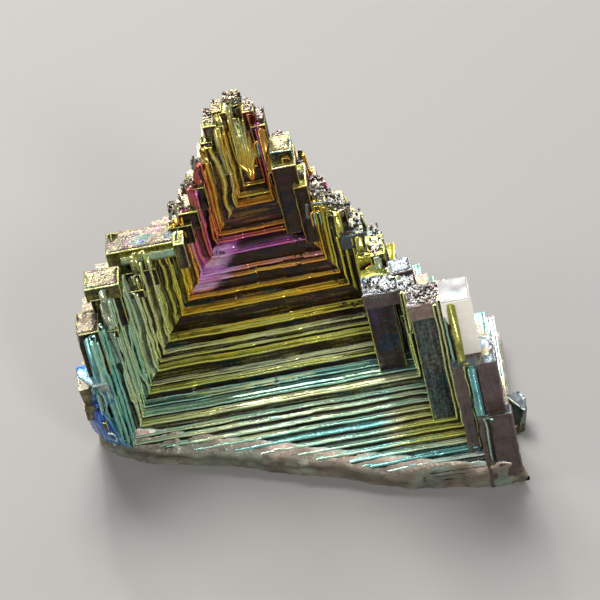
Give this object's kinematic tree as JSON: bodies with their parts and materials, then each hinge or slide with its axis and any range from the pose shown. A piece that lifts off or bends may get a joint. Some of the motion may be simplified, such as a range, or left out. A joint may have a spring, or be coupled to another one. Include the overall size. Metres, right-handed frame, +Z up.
{
  "type": "bismuth hopper crystal",
  "caption": "Skeletal hopper crystal of tarnished bismuth: a leaning stepped pyramid with four ledged funnels, a flat base and a broken front rim.",
  "frame": {"origin": "middle of the flat base, under the centre of the crystal's outline", "axes": "+X to the right along the ledges of the large funnel, +Y to the back, +Z up through the tip"},
  "size_m": [0.0474, 0.037, 0.0346],
  "materials": {
    "bismuth": "iridescent oxide film on bright metal: gold and brown above, pale green and blue below, magenta in the left valley"
  },
  "bodies": {
    "root": {"bismuth_crystal": "bismuth"}
  },
  "joints": []
}
